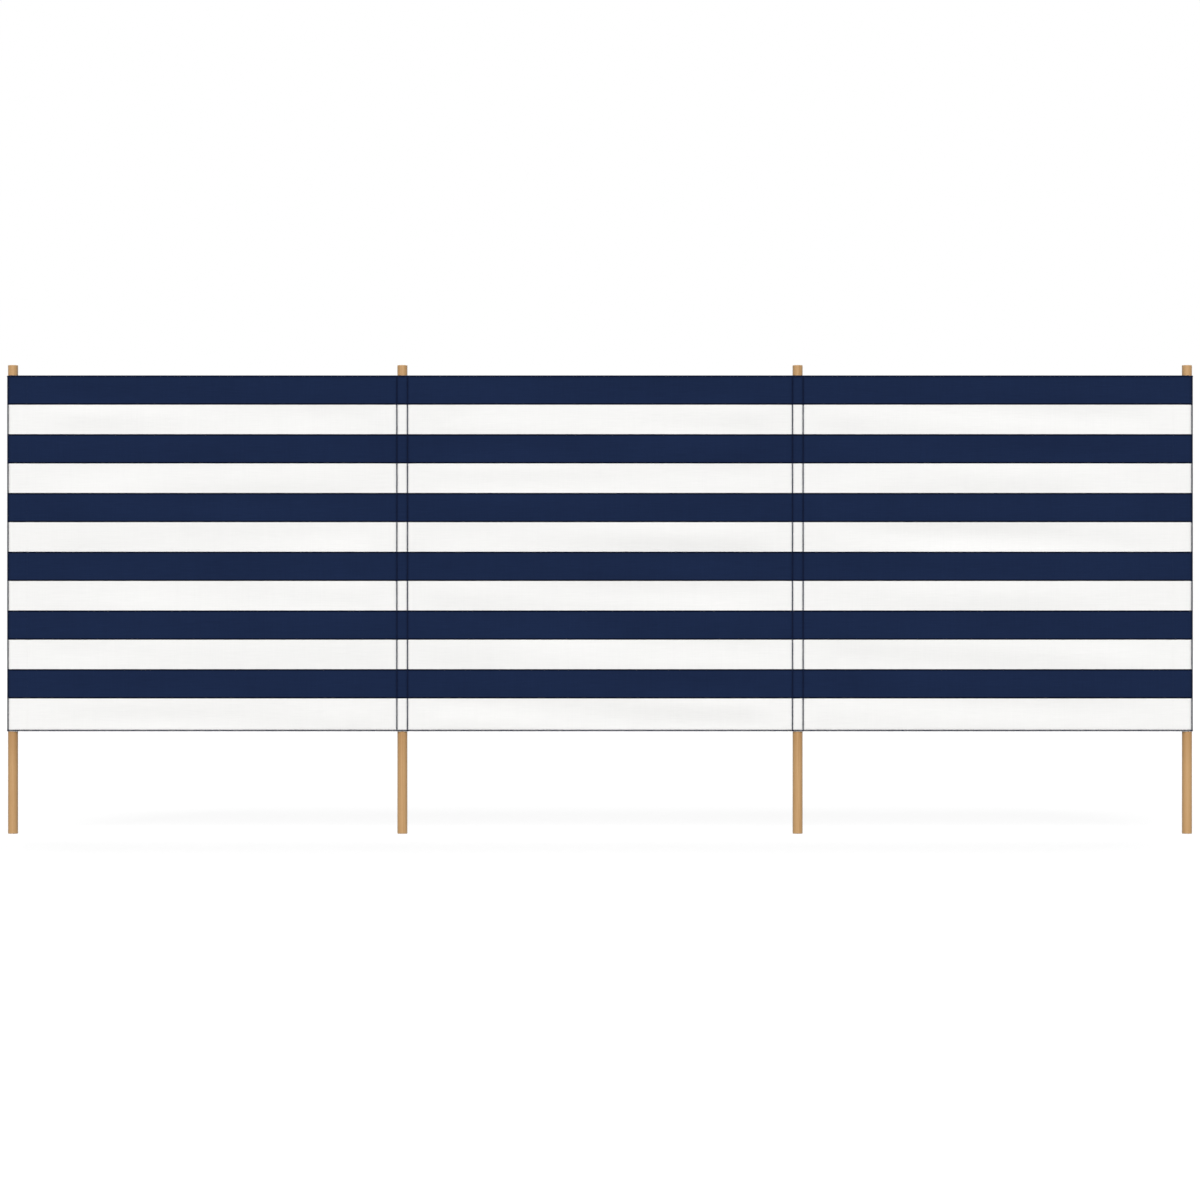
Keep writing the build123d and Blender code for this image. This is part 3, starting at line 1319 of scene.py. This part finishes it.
@dataclass(frozen=True)
class WoodFinish(Finish):
    """Turned softwood under a thin satin varnish."""

    axis: float  # how far along the pole's axis stands
    pith: Pair  # place of the tree's heart from that axis
    ring: float  # width of a year's growth
    seed: float  # shift of the grain, so that no two poles are alike
    top: float  # height of the pole's upper end
    canvas: Pair  # heights of the canvas's lower and upper edge, for the painted shade under it
    radius: float
    early: RGB = (0.545, 0.330, 0.147)  # colour of the spring wood
    late: RGB = (0.398, 0.209, 0.0755)  # colour of the summer wood
    end_grain: RGB = (0.40, 0.22, 0.09)  # colour of the sawn ends
    chafed: RGB = (0.74, 0.52, 0.29)  # colour of the bared wood at their rims
    bend: float = 14 * MM  # how far to each side the heart wanders

    def summer_wood(self, graph: Graph, place: Signal) -> Signal:
        """Lays out the rings of growth round the tree's wandering heart.

        Args:
            graph: where the nodes go.
            place: places from the foot of the pole's axis.

        Returns:
            1 in the summer wood at a ring's end, and 0 in the spring wood.
        """
        bends = [
            graph.noise(place, (5, 5, rise), 1.0, self.seed + shift).spread(0, 1, -self.bend, self.bend)
            for rise, shift in ((1.3, 0), (1.1, 20))
        ]
        wander = graph.out("ShaderNodeCombineXYZ", 0, dict(enumerate(bends)))
        from_pith = graph.vector("SUBTRACT", place, (*self.pith, 0.0))
        level = graph.vector("MULTIPLY", graph.vector("ADD", from_pith, wander), (1.0, 1.0, 0.0))
        uneven = graph.noise(level, (60, 60, 1), 1.0, self.seed).spread(0, 1, -0.8, 0.8)
        phase = graph.maths("FRACT", graph.length(level) / self.ring + uneven)
        return graph.maths("POWER", graph.maths("PINGPONG", phase, 0.5), 1.6).spread(0.0, 0.33)

    def lay_out(self, graph: Graph) -> None:
        """Lays out the rings, fibres and flecks, the painted shade on the pole under the canvas, and
        what use has done to the wood.

        Args:
            graph: where the nodes go.
        """
        seen = graph.out("ShaderNodeTexCoord", "Object")
        place = graph.vector("SUBTRACT", seen, (self.axis, 0.0, 0.0))
        height = graph.part(place, "Z")
        late = self.summer_wood(graph, place)
        fibre = graph.noise(place, (620, 620, 7), 3.0, self.seed + 3)
        fleck = graph.noise(place, (1300, 1300, 34), 1.0, self.seed + 9).spread(0.64, 0.72, 0.0, 0.32)
        drift = graph.noise(place, (4, 4, 1.6), 2.0, self.seed + 5)
        low, high = self.canvas
        share = (
            late * 0.50
            + fibre.spread(0.25, 0.75, -0.16, 0.26)
            + drift.spread(0.3, 0.7, -0.24, 0.24)
            + fleck
            # painted shade on the pole under the canvas's lower edge, fading out over 120 mm; the next
            # line takes it back out above the canvas's top
            + height.spread(low - 120 * MM, low, 0.0, 0.46)
            + height.spread(high - 10 * MM, high, 0.0, -0.46)
        )
        grain = graph.mixed(share.spread(0, 1), self.early, self.late)

        facing = graph.part(graph.out("ShaderNodeNewGeometry", "Normal"), "Z")
        sawn = facing.unsigned().spread(0.85, 0.98, 0.0, 0.62)
        half = self.top / 2
        to_end = (height - half).unsigned().spread(half - 2.6 * MM, half - 0.6 * MM)
        out = graph.length(graph.vector("MULTIPLY", place, (1.0, 1.0, 0.0)))
        rim = out.spread(self.radius - 1.6 * MM, self.radius - 0.4 * MM)
        patchy = graph.noise(place, (240, 240, 160), 2.0, self.seed + 13).spread(0.35, 0.6)
        ended = graph.mixed(sawn, grain, self.end_grain)
        bared = graph.mixed(to_end * rim * patchy * 0.45, ended, self.chafed)
        graph.dress(
            Base_Color=graph.toned(bared, fibre.spread(0.3, 0.7, 0.965, 1.035)),
            Roughness=fibre.spread(0.25, 0.75, 0.36, 0.5) + sawn * 0.35,
            Normal=graph.relief(late * 0.05 + fibre * 0.10 + fleck * -0.18),
            Specular_IOR_Level=0.4,
            Coat_Weight=0.10,
            Coat_Roughness=0.3,
        )


@dataclass(frozen=True)
class FloorFinish(Finish):
    """Plain pale paint that looks white but for the shadow on it."""

    paint: RGB = (0.26, 0.26, 0.26)  # colour of the paint
    glow: float = 0.785  # strength that is added where the camera looks on

    def lay_out(self, graph: Graph) -> None:
        """Lays out the faintly mottled paint and its glow.

        Args:
            graph: where the nodes go.
        """
        mottle = graph.noise(graph.out("ShaderNodeTexCoord", "Object"), (3, 3, 1))
        graph.dress(
            Base_Color=graph.toned(self.paint, mottle.spread(0, 1, 0.99, 1.01)),
            Roughness=0.9,
            Specular_IOR_Level=0.0,
            Emission_Color=(1.0, 1.0, 1.0),
            Emission_Strength=graph.seen() * self.glow,
        )


CANVAS = {
    Colour.NAVY: CanvasFinish(
        name="navy_cotton_canvas",
        colour=(0.0098, 0.0202, 0.0595),
        weft=(0.024, 0.038, 0.088),
        rubbed=(0.085, 0.115, 0.19),
        edging=(0.0022, 0.0046, 0.0145),
        contrast=0.09,
        wear=0.35,
    ),
    Colour.WHITE: CanvasFinish(
        name="white_cotton_canvas",
        colour=(0.908, 0.904, 0.892),
        # painted shade in the gaps of the weave, given as the white weft's colour
        weft=(0.84, 0.835, 0.815),
        rubbed=(0.80, 0.78, 0.73),
        edging=(0.908, 0.904, 0.892),
        contrast=0.022,
        wear=0.45,
    ),
}
DARK_THREAD = ThreadFinish("dark_thread", (0.0030, 0.0076, 0.0310), roughness=0.6)
CLEAR_THREAD = {
    Colour.NAVY: ThreadFinish("clear_thread_on_navy", (0.014, 0.026, 0.068)),
    Colour.WHITE: ThreadFinish("clear_thread_on_white", (0.86, 0.85, 0.83)),
}


# ---------------------------------------------------------------- sub-assemblies
def cloth_piece(
    name: str,
    run: ClothRun,
    sections: Iterable[Section],
    colour: Colour,
    nodes: list[str],
    flat: Pair,
    rests_on: list[str],
    share: float,
) -> Piece:
    """Makes and dresses a piece of cloth.

    Args:
        name: name of the piece.
        run: its length of cloth.
        sections: the outline of each of its stripes.
        colour: colour of the stripes.
        nodes: nodes of the frame that it stands for.
        flat: size of the sheet that it is cut from; not used.
        rests_on: pieces that it rests on; not used.
        share: height that it takes of that sheet.

    Returns:
        The piece.
    """
    piece = swept(name, run, sections)
    piece.data.materials.append(CANVAS[colour].material())
    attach(piece, BODY)
    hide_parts(*nodes)
    share * run.length
    return piece


@dataclass(frozen=True)
class CanvasBay:
    """One bay of the canvas, with its hems and the fold round an end pole if it has one."""

    number: int  # from 1 at the left
    cutter: Cutter

    @cached_property
    def run(self) -> ClothRun:
        """The bay's length of cloth."""
        return self.cutter.bay(self.number)

    def nodes(self, colour: Colour) -> list[str]:
        """Lists the nodes of the frame that the cloth of one colour stands for.

        Args:
            colour: the colour.

        Returns:
            Their names.
        """
        edge = "top" if colour is Colour.NAVY else "bottom"
        found = [f"bay_{self.number}_{colour.value}_stripes", f"bay_{self.number}_{edge}_hem"]
        for side, end_bay in (("left", 1), ("right", self.cutter.sizes.bays)):
            if self.number == end_bay:
                found += [f"{side}_end_pocket_{colour.value}", f"end_{edge}_hems"]
        return found

    def build(self, colour: Colour) -> Piece:
        """Makes the cloth of one colour, which has one of the hems.

        Args:
            colour: the colour.

        Returns:
            The piece.
        """
        size = self.cutter.sizes
        turned_in = 2 * size.hem_depth
        width = size.top - size.bottom + 2 * turned_in
        share = sum(high - low for low, high in size.stripes[colour]) + size.hem_depth + turned_in
        return cloth_piece(
            f"bay_{self.number}_{colour.value}_cloth",
            self.run,
            Section.striped(size, colour, Section.hemmed),
            colour,
            self.nodes(colour),
            (width, self.run.length),
            [f"pole_{self.number}", f"pole_{self.number + 1}"],
            share,
        )


@dataclass(frozen=True)
class PolePocket:
    """Strip of cloth across the back that holds an inner pole."""

    number: int  # of its pole, from 1 at the left
    cutter: Cutter
    turned: float = 6 * MM  # cloth that each end of the strip is turned over by

    @property
    def pole(self) -> float:
        """How far along the pole's axis stands."""
        return self.cutter.sizes.poles[self.number - 1]

    @cached_property
    def run(self) -> ClothRun:
        """The strip's length of cloth."""
        return self.cutter.strip(self.pole)

    def build(self, colour: Colour) -> Piece:
        """Makes the strip's cloth of one colour, which has one of its ends.

        Args:
            colour: the colour.

        Returns:
            The piece.
        """
        size = self.cutter.sizes
        height = size.strip_end(Edge.TOP) - size.strip_end(Edge.BOTTOM) + 2 * self.turned
        share = sum(high - low for low, high in size.stripes[colour]) + self.turned
        return cloth_piece(
            f"pocket_{self.number}_{colour.value}_cloth",
            self.run,
            Section.striped(size, colour, Section.turned),
            colour,
            [f"inner_pocket_{self.number}_{colour.value}"],
            (self.run.length, height),
            [f"pole_{self.number}", f"bay_{self.number}_{colour.value}_cloth"],
            share,
        )


@dataclass(frozen=True)
class Needlework:
    """All the sewing of the windbreak."""

    cutter: Cutter
    bays: tuple[CanvasBay, ...]  # from the left

    def pocket_seams(self, pocket: PolePocket) -> Piece:
        """Sews the seams of an inner pole, seen from the front and from the back.

        Args:
            pocket: the pocket of that pole.

        Returns:
            The piece.
        """
        size = self.cutter.sizes
        work = Stitching(f"pocket_{pocket.number}_seams", POCKET_SEED + pocket.number)
        ends = size.upright(SEAM_STOP)

        def in_hem(_: Array, height: Array) -> Array:
            """Whether a stitch shows on the back of a hem."""
            return size.from_edge(height) < size.hem_depth - STITCH_CLEARANCE

        def on_strip(_: Array, height: Array) -> Array:
            """Whether a stitch shows on the strip behind."""
            return size.from_edge(height) > size.hem_depth + 2 * STITCH_CLEARANCE

        bays = self.bays[pocket.number - 2 : pocket.number]
        for bay, place in zip(bays, (pocket.pole - SEAM_OFFSET, pocket.pole + SEAM_OFFSET)):
            holes = ZIGZAG.holes(*ends, place, upright=True)
            work.lay(bay.run, ZIGZAG, holes, Side.OUTER)
            work.lay(bay.run, ZIGZAG, holes, Side.INNER, in_hem)
        strip = pocket.run
        for row in strip.rows:
            holes = STRIP_ZIGZAG.holes(*ends, row.place, upright=True)
            work.lay(strip, STRIP_ZIGZAG, holes, Side.OUTER, on_strip)
        for row in strip.cross_rows:
            reach = strip.way[-1] - TURNED_UNDER - STRIP_ZIGZAG.swing
            holes = STRAIGHT.holes(-reach, reach, row.place, upright=False)
            work.lay(strip, STRAIGHT, holes, Side.OUTER, plies=1)
        return work.piece(DARK_THREAD, Colour.NAVY)

    def hem_seam(self, bay: CanvasBay, edge: Edge) -> Piece:
        """Sews the hem along one edge of a bay, seen from the front and from the back.

        Args:
            bay: the bay.
            edge: the edge.

        Returns:
            The piece.
        """
        size = self.cutter.sizes
        name = f"bay_{bay.number}_{edge.name.lower()}_hem_seam"
        work = Stitching(name, HEM_SEED + 10 * bay.number + edge.value)
        start = bay.run.way[0] + STITCH_CLEARANCE * (bay.number == 1)
        end = bay.run.way[-1] - STITCH_CLEARANCE * (bay.number == size.bays)
        holes = HEM_ZIGZAG.holes(start, end, size.hem_seam(edge), upright=False)

        def free(place: Array, _: Array) -> Array:
            """Whether no pole or fold covers a stitch on the back of the hem."""
            clear = [np.abs(place - pole) > size.covered(pole) for pole in size.poles]
            return np.all(clear, axis=0) & (place > size.poles[0]) & (place < size.poles[-1])

        work.lay(bay.run, HEM_ZIGZAG, holes, Side.OUTER)
        work.lay(bay.run, HEM_ZIGZAG, holes, Side.INNER, free)
        return work.piece(DARK_THREAD, Colour.NAVY)

    def fold_seam(self, bay: CanvasBay) -> Piece:
        """Sews the zigzag that goes up the turn of an end fold.

        Args:
            bay: the bay that has the fold.

        Returns:
            The piece.
        """
        size = self.cutter.sizes
        side, end, outwards = ("left", 0, -1) if bay.number == 1 else ("right", -1, 1)
        work = Stitching(f"{side}_fold_seam", FOLD_SEED + bay.number)
        place = size.poles[end] + outwards * self.cutter.fold_seam
        holes = FOLD_ZIGZAG.holes(*size.upright(SEAM_STOP), place, upright=True)
        work.lay(bay.run, FOLD_ZIGZAG, holes, Side.OUTER)
        return work.piece(DARK_THREAD, Colour.NAVY)

    def end_seams(self, colour: Colour) -> Piece:
        """Sews down both end folds where they cross the stripes of one colour.

        Args:
            colour: the colour.

        Returns:
            The piece.
        """
        size = self.cutter.sizes
        seed = END_SEED + list(Colour).index(colour)
        work = Stitching(f"end_seams_on_{colour.value}", seed)

        def on_stripe(_: Array, height: Array) -> Array:
            """Whether a stitch lies on a stripe of this colour, or on its hem."""
            spans = size.with_hems(colour)
            return np.any([(height > low) & (height < high) for low, high in spans], axis=0)

        for end, inwards in ((0, 1), (-1, -1)):
            run = self.bays[end].run
            on_front = size.poles[end] + inwards * self.cutter.end_seam
            on_back = run.free_ends[0] + inwards * END_SEAM_INSET
            for place in (on_front, on_back):
                holes = FINE.holes(*size.upright(STITCH_CLEARANCE), place, upright=True)
                work.lay(run, FINE, holes, Side.OUTER, on_stripe)
        return work.piece(CLEAR_THREAD[colour], colour)


@dataclass(frozen=True)
class Pole:
    """One wooden pole, whose shape is the frame's own."""

    number: int  # from 1 at the left
    sizes: Sizes
    pith: Pair  # place of the tree's heart from the pole's axis
    ring: float  # width of a year's growth
    grain_shift: float = 11.3  # by which the grain is moved from one pole to the next

    def dress(self) -> Piece:
        """Gives the pole its own piece of wood.

        Returns:
            The pole.
        """
        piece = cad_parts[f"pole_{self.number}"]
        wood = WoodFinish(
            name=f"pole_{self.number}_wood",
            axis=self.sizes.poles[self.number - 1],
            pith=self.pith,
            ring=self.ring,
            seed=self.grain_shift * self.number,
            top=self.sizes.pole_top,
            canvas=(self.sizes.bottom, self.sizes.top),
            radius=self.sizes.pole_radius,
        ).material()
        if not piece.material_slots:
            piece.data.materials.append(wood)
        for slot in piece.material_slots:
            slot.material = wood
        return piece


POLE_TIMBER = (  # the tree's heart from each pole's axis, and the width of its rings
    ((30 * MM, 12 * MM), 2.6 * MM),
    ((-18 * MM, 27 * MM), 3.3 * MM),
    ((10 * MM, -34 * MM), 2.9 * MM),
    ((-29 * MM, -9 * MM), 2.3 * MM),
)


# ---------------------------------------------------------------- studio
@dataclass(frozen=True)
class Lamp:
    """One large soft light."""

    name: str
    strength: float
    azimuth: float  # its direction from the windbreak, in degrees from the front to the right
    height: float  # its angle above the floor, in degrees
    width: float  # the angle that it fills, in degrees
    away: float = 10.0  # how far off it hangs

    def hang(self) -> None:
        """Hangs the light in the scene."""
        light = bpy.data.lights.new(self.name, "SUN")
        light.energy = self.strength
        light.angle = math.radians(self.width)
        turn, rise = math.radians(self.azimuth), math.radians(self.height)
        level = math.cos(rise)
        towards = Vector((math.sin(turn) * level, -math.cos(turn) * level, math.sin(rise)))
        holder = bpy.data.objects.new(self.name, light)
        holder.location = towards * self.away
        holder.rotation_mode = "QUATERNION"
        holder.rotation_quaternion = towards.to_track_quat("Z", "Y")
        bpy.context.scene.collection.objects.link(holder)


@dataclass(frozen=True)
class Studio:
    """Plain floor, soft light and camera."""

    sizes: Sizes
    lamps: tuple[Lamp, ...] = (
        Lamp("front_light", 2.98, -3.0, 30.0, 30.0),
        Lamp("back_light", 2.0, 176.0, 40.0, 36.0),
    )
    sky: float = 0.24  # brightness of the room
    reach: float = 60.0  # how far the floor goes each way
    lens: float = 150.0  # focal length of the camera, in millimetres
    sensor: float = 36.0  # width of its sensor, in millimetres
    span: float = 4.044  # width that the camera sees at the canvas
    drop: float = 2 * MM  # how far the camera looks below the windbreak's middle
    sight: float = 200.0  # how far the camera sees

    def floor(self) -> None:
        """Lays the floor that the poles stand on."""
        middle = (self.sizes.poles[0] + self.sizes.poles[-1]) / 2
        corners = self.reach * np.array([(-1, -1, 0), (1, -1, 0), (1, 1, 0), (-1, 1, 0)])
        piece = new_piece("floor", corners + [middle, 0, 0], [(0, 1, 2, 3)], {})
        piece.data.materials.append(FloorFinish("floor_paint").material())

    def room(self) -> None:
        """Fills the room with even light, which looks plain white."""
        world = bpy.data.worlds.new("room")
        bpy.context.scene.world = world
        graph = Graph(world, "Background")
        strength = graph.seen().spread(0.0, 1.0, self.sky, 1.0)
        graph.dress(Color=(1.0, 1.0, 1.0), Strength=strength)

    def camera(self) -> None:
        """Sets the camera up square in front of the canvas."""
        low, high = cad_box
        data = bpy.data.cameras.new("camera")
        data.lens = self.lens
        data.sensor_width = self.sensor
        data.clip_end = self.sight
        camera = bpy.data.objects.new("camera", data)
        distance = self.span * self.lens / self.sensor
        middle_height = (low.z + high.z) / 2 - self.drop
        camera.location = ((low.x + high.x) / 2, low.y - distance, middle_height)
        camera.rotation_euler = (math.pi / 2, 0.0, 0.0)
        bpy.context.scene.collection.objects.link(camera)
        bpy.context.scene.camera = camera

    def build(self) -> None:
        """Sets up the whole studio."""
        self.floor()
        self.room()
        for lamp in self.lamps:
            lamp.hang()
        self.camera()
        bpy.context.scene.view_settings.view_transform = "Standard"


def report(piece: Piece) -> None:
    """Logs a piece's name and its number of triangles."""
    piece.data.calc_loop_triangles()
    log.info("%s: %d triangles", piece.name, len(piece.data.loop_triangles))


def main() -> None:
    """Builds the windbreak's pieces in order."""
    logging.basicConfig(level=logging.INFO, format="%(name)s: %(message)s")
    sizes = Sizes.measured()
    cutter = Cutter(sizes, Drape(sizes))

    Studio(sizes).build()

    for number, (pith, ring) in enumerate(POLE_TIMBER, start=1):
        report(Pole(number, sizes, pith, ring).dress())

    bays = tuple(CanvasBay(number, cutter) for number in range(1, sizes.bays + 1))
    pockets = tuple(PolePocket(number, cutter) for number in range(2, len(sizes.poles)))
    for part in (*bays, *pockets):
        for colour in Colour:
            report(part.build(colour))

    needlework = Needlework(cutter, bays)
    for pocket in pockets:
        report(needlework.pocket_seams(pocket))
    for bay in bays:
        for edge in Edge:
            report(needlework.hem_seam(bay, edge))
    for bay in (bays[0], bays[-1]):
        report(needlework.fold_seam(bay))
    for colour in Colour:
        report(needlework.end_seams(colour))


if __name__ == "__main__":
    main()
